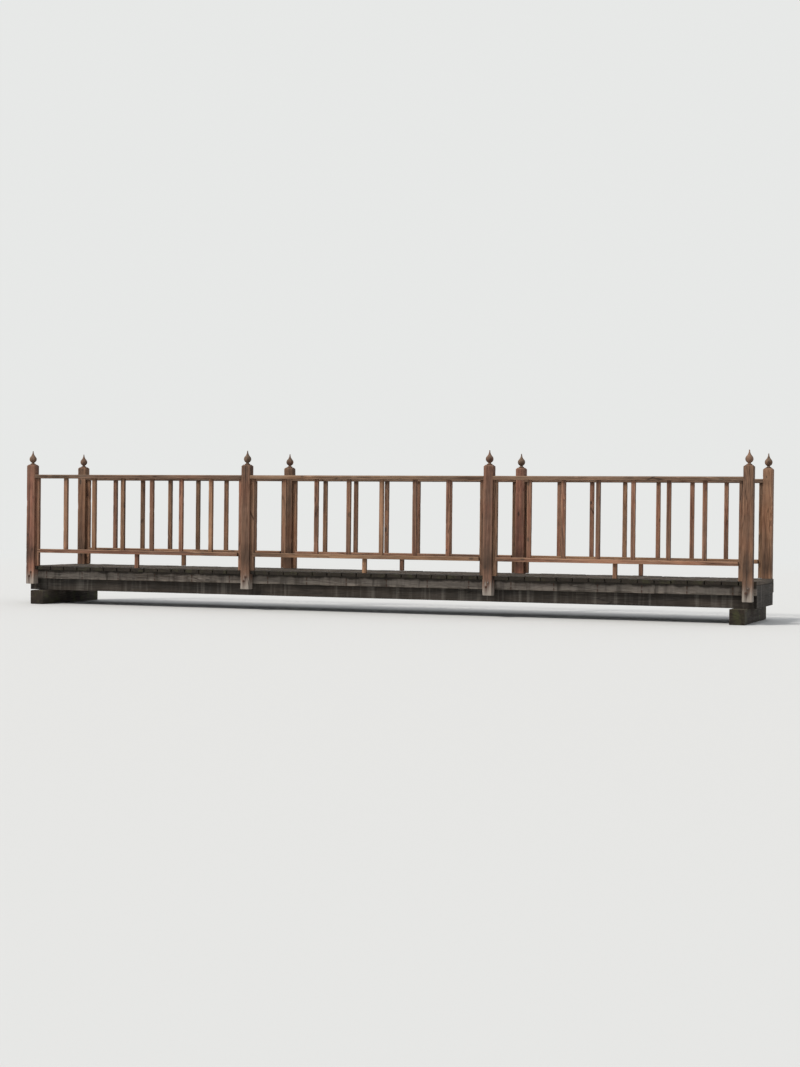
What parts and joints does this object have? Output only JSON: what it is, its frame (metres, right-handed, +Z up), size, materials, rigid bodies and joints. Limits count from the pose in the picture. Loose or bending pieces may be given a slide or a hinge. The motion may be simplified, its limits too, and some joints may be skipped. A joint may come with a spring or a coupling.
{
  "type": "wooden footbridge",
  "caption": "Timber footbridge for a garden stream: a plank deck on stringers and sills, with a railing of posts, flat rails and square balusters on both sides.",
  "frame": {"origin": "under the middle of the bridge, at the height where its two sills rest", "axes": "+X along the span, towards the right-hand end in the picture; +Y across the deck, from the front railing to the back one; +Z up"},
  "size_m": [7.315, 1.104, 1.531],
  "materials": {
    "sills": "old dark timber, damp and rough",
    "frame_timber": "dark weathered timber, rough",
    "rim_boards": "grey-brown weathered timber, rough",
    "deck_planks": "grey-brown worn timber, rough",
    "posts": "red-brown weathered timber, rough",
    "handrails": "red-brown weathered timber, worn smooth on top",
    "bottom_rails": "red-brown weathered timber",
    "balusters": "red-brown weathered timber",
    "finials": "turned timber, weathered"
  },
  "bodies": {
    "root": {"left_sill": "sills", "right_sill": "sills", "front_stringer": "frame_timber", "middle_stringer": "frame_timber", "back_stringer": "frame_timber", "left_header": "frame_timber", "right_header": "frame_timber", "left_blocking": "frame_timber", "middle_blocking": "frame_timber", "right_blocking": "frame_timber", "front_rim_board": "rim_boards", "back_rim_board": "rim_boards", "left_deck_planks": "deck_planks", "middle_deck_planks": "deck_planks", "right_deck_planks": "deck_planks", "front_left_end_post": "posts", "front_left_post": "posts", "front_right_post": "posts", "front_right_end_post": "posts", "back_left_end_post": "posts", "back_left_post": "posts", "back_right_post": "posts", "back_right_end_post": "posts", "front_left_handrail": "handrails", "front_middle_handrail": "handrails", "front_right_handrail": "handrails", "back_left_handrail": "handrails", "back_middle_handrail": "handrails", "back_right_handrail": "handrails", "front_left_bottom_rail": "bottom_rails", "front_middle_bottom_rail": "bottom_rails", "front_right_bottom_rail": "bottom_rails", "back_left_bottom_rail": "bottom_rails", "back_middle_bottom_rail": "bottom_rails", "back_right_bottom_rail": "bottom_rails", "front_left_balusters": "balusters", "front_middle_balusters": "balusters", "front_right_balusters": "balusters", "back_left_balusters": "balusters", "back_middle_balusters": "balusters", "back_right_balusters": "balusters", "front_rail_blocks": "bottom_rails", "back_rail_blocks": "bottom_rails", "front_finials": "finials", "back_finials": "finials"}
  },
  "joints": []
}
